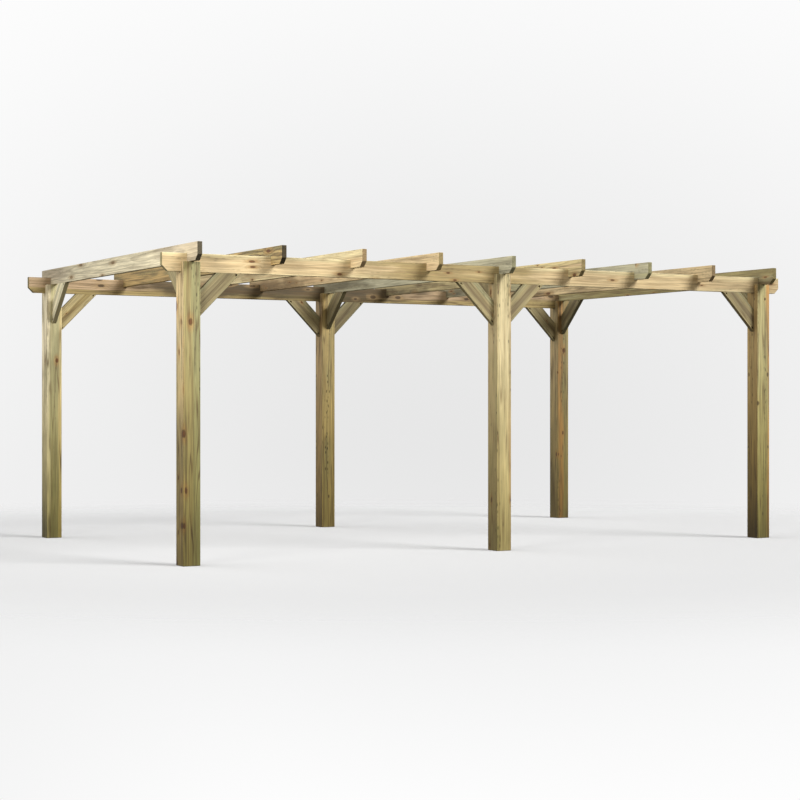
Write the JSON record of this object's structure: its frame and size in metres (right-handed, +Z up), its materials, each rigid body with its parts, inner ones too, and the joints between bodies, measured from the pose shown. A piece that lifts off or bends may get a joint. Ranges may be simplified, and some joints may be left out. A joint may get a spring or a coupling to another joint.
{
  "type": "pergola",
  "caption": "Open timber pergola: square posts with slotted heads carry long beams, crossed by notched rafters and stiffened by mitred corner braces.",
  "frame": {"origin": "on the ground, under the middle of the frame", "axes": "+X along the beams, +Y from the front row of posts to the back row, +Z up"},
  "size_m": [6, 3.6, 2.425],
  "materials": {
    "post_timber": "planed, pressure treated",
    "board_timber": "planed, pressure treated"
  },
  "bodies": {
    "root": {"post_front_left": "post_timber", "post_front_middle": "post_timber", "post_front_right": "post_timber", "post_back_left": "post_timber", "post_back_middle": "post_timber", "post_back_right": "post_timber", "beam_front": "board_timber", "beam_back": "board_timber", "rafter_1": "board_timber", "rafter_2": "board_timber", "rafter_3": "board_timber", "rafter_4": "board_timber", "rafter_5": "board_timber", "rafter_6": "board_timber", "rafter_7": "board_timber", "rafter_8": "board_timber", "rafter_9": "board_timber", "beam_brace_front_left_to_right": "board_timber", "beam_brace_front_middle_to_left": "board_timber", "beam_brace_front_middle_to_right": "board_timber", "beam_brace_front_right_to_left": "board_timber", "beam_brace_back_left_to_right": "board_timber", "beam_brace_back_middle_to_left": "board_timber", "beam_brace_back_middle_to_right": "board_timber", "beam_brace_back_right_to_left": "board_timber", "rafter_brace_front_left": "board_timber", "rafter_brace_front_middle": "board_timber", "rafter_brace_front_right": "board_timber", "rafter_brace_back_left": "board_timber", "rafter_brace_back_middle": "board_timber", "rafter_brace_back_right": "board_timber"}
  },
  "joints": []
}
